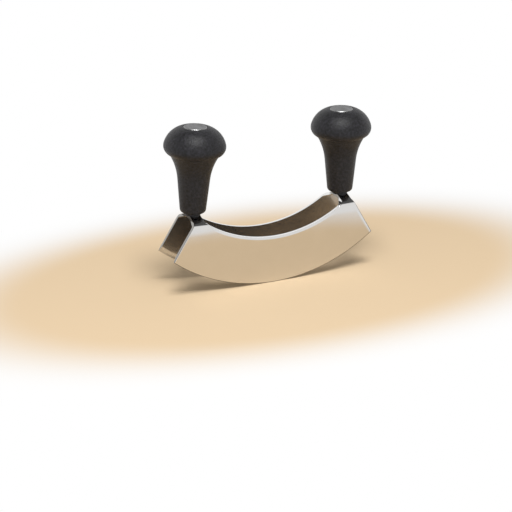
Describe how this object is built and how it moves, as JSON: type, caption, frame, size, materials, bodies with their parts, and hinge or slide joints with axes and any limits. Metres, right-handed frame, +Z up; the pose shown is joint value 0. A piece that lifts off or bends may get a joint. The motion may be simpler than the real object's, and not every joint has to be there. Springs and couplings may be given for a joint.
{
  "type": "mezzaluna",
  "caption": "Rocking herb chopper: parallel crescent blades folded from steel sheet, with upright mushroom grips bolted above their ends.",
  "frame": {"origin": "midway between the two blades and midway along them, level with the lowest point of their cutting edges, where the standing part touches the board", "axes": "+X along the blades towards the right grip, +Y across the blades towards the rear blade, +Z up through the grips"},
  "size_m": [0.1606, 0.0438, 0.1202],
  "materials": {
    "blade_steel": "mirror-polished stainless steel sheet, ground bevels along the cutting edges",
    "grip_plastic": "moulded charcoal-black plastic, fine matt grain",
    "cap_metal": "satin stainless steel",
    "fastener_steel": "plain stainless steel"
  },
  "bodies": {
    "root": {"double_blade": "blade_steel", "grip_left": "grip_plastic", "grip_right": "grip_plastic", "cap_left": "cap_metal", "cap_right": "cap_metal", "washer_left": "fastener_steel", "washer_right": "fastener_steel", "bolt_left": "fastener_steel", "bolt_right": "fastener_steel", "nut_left": "fastener_steel", "nut_right": "fastener_steel"}
  },
  "joints": []
}
